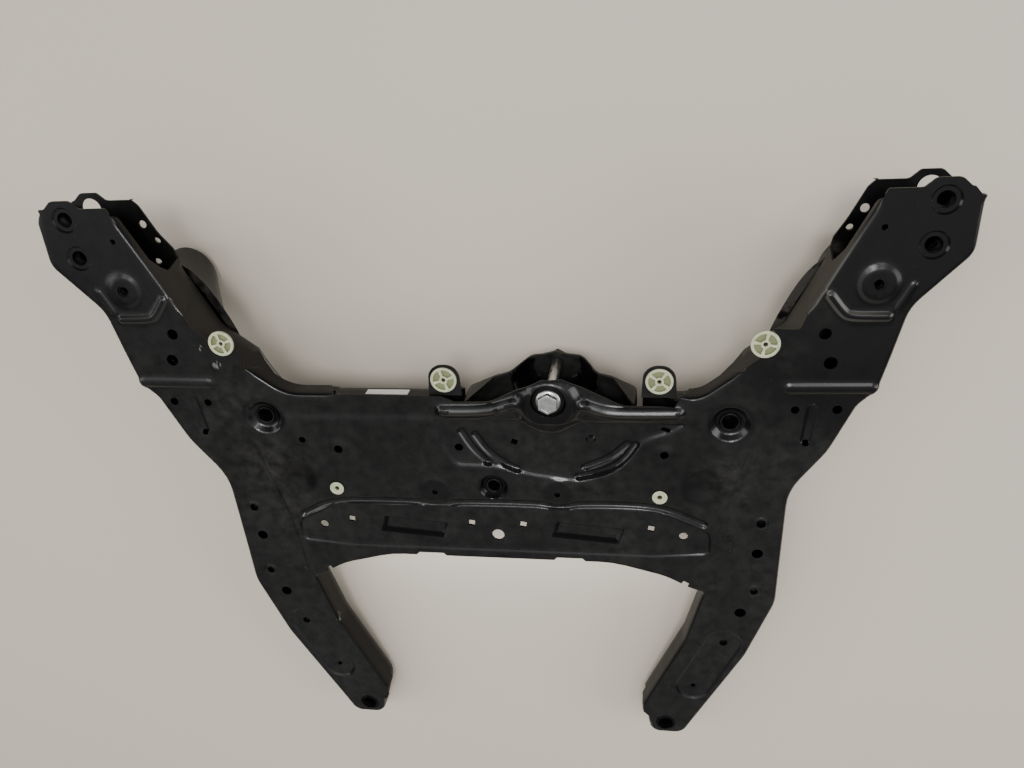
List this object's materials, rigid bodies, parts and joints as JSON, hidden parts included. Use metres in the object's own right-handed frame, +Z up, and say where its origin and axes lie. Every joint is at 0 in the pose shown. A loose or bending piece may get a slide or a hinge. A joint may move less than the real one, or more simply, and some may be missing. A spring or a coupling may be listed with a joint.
{
  "type": "vehicle front subframe",
  "caption": "Pressed and welded steel front subframe: box-section cross beam with forward arms, rear legs, tall body mounts and a torque rod pocket.",
  "frame": {"origin": "on the bench plane through the tower tops, below the middle of the bounding box", "axes": "+X across the car along the cross beam, +Y to the front of the car along the arms, +Z up from the bench, out of the underside"},
  "size_m": [0.9697, 0.756, 0.1806],
  "materials": {
    "black_coat": "satin black electrocoat, dusty on the rails",
    "bare_steel": "dull machined steel inside the bores",
    "zinc_plate": "bright zinc plating",
    "natural_plastic": "pale greenish white nylon",
    "label_paper": "blank white label"
  },
  "bodies": {
    "root": {"lower_shell": "black_coat", "upper_shell": "black_coat", "torque_pocket": "black_coat", "tower_left": "black_coat", "tower_right": "black_coat", "clip_bracket_left": "black_coat", "clip_bracket_right": "black_coat", "torque_nut": "bare_steel", "tower_nut_left": "bare_steel", "tower_nut_right": "bare_steel", "front_collar_left": "bare_steel", "front_collar_right": "bare_steel", "second_collar_left": "bare_steel", "second_collar_right": "bare_steel", "rail_sleeve_left": "bare_steel", "rail_sleeve_right": "bare_steel", "centre_sleeve": "bare_steel", "foot_sleeve_left": "bare_steel", "foot_sleeve_right": "bare_steel", "arm_nut_left": "bare_steel", "arm_nut_right": "bare_steel", "leg_nut_front_left": "bare_steel", "leg_nut_front_right": "bare_steel", "leg_nut_middle_left": "bare_steel", "leg_nut_middle_right": "bare_steel", "leg_nut_rear_left": "bare_steel", "leg_nut_rear_right": "bare_steel", "cross_nut_left": "bare_steel", "cross_nut_right": "bare_steel", "torque_bolt": "zinc_plate", "clip_outer_left": "natural_plastic", "clip_outer_right": "natural_plastic", "clip_inner_left": "natural_plastic", "clip_inner_right": "natural_plastic", "clip_small_left": "natural_plastic", "clip_small_right": "natural_plastic", "label": "label_paper"}
  },
  "joints": []
}
